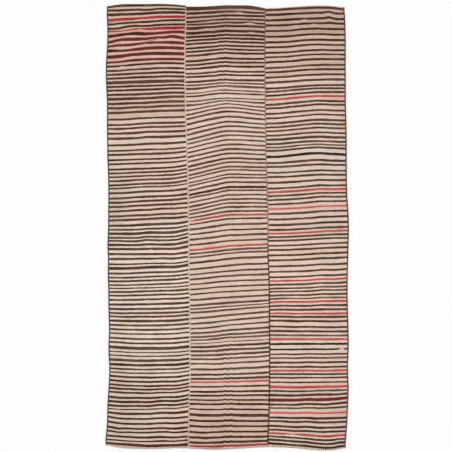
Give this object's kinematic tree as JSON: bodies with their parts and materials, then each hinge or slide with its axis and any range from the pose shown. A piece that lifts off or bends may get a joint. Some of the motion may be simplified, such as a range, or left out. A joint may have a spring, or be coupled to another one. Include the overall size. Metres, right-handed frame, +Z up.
{
  "type": "striped kilim rug",
  "caption": "Flat striped wool kilim of long narrow woven panels sewn edge to edge, with overcast outer edges and hemmed ends; lies flat on a floor.",
  "frame": {"origin": "centre of the bounding box in plan, on the flat underside", "axes": "+Y along the rug's length towards its far end (the top of the picture), +X across the panels, +Z up out of the upper face"},
  "size_m": [1.6062, 2.944, 0.005],
  "materials": {
    "wool_left": "matte wool flatweave, brown and maroon stripes on oat",
    "wool_middle": "matte wool flatweave, umber stripes on oat",
    "wool_right": "matte wool flatweave, brown and madder stripes on oat",
    "edge_wool": "matte dark brown wool, wrapped in overcast stitches"
  },
  "bodies": {
    "root": {"panel_left": "wool_left", "panel_middle": "wool_middle", "panel_right": "wool_right", "binding_left": "edge_wool", "binding_right": "edge_wool"}
  },
  "joints": []
}
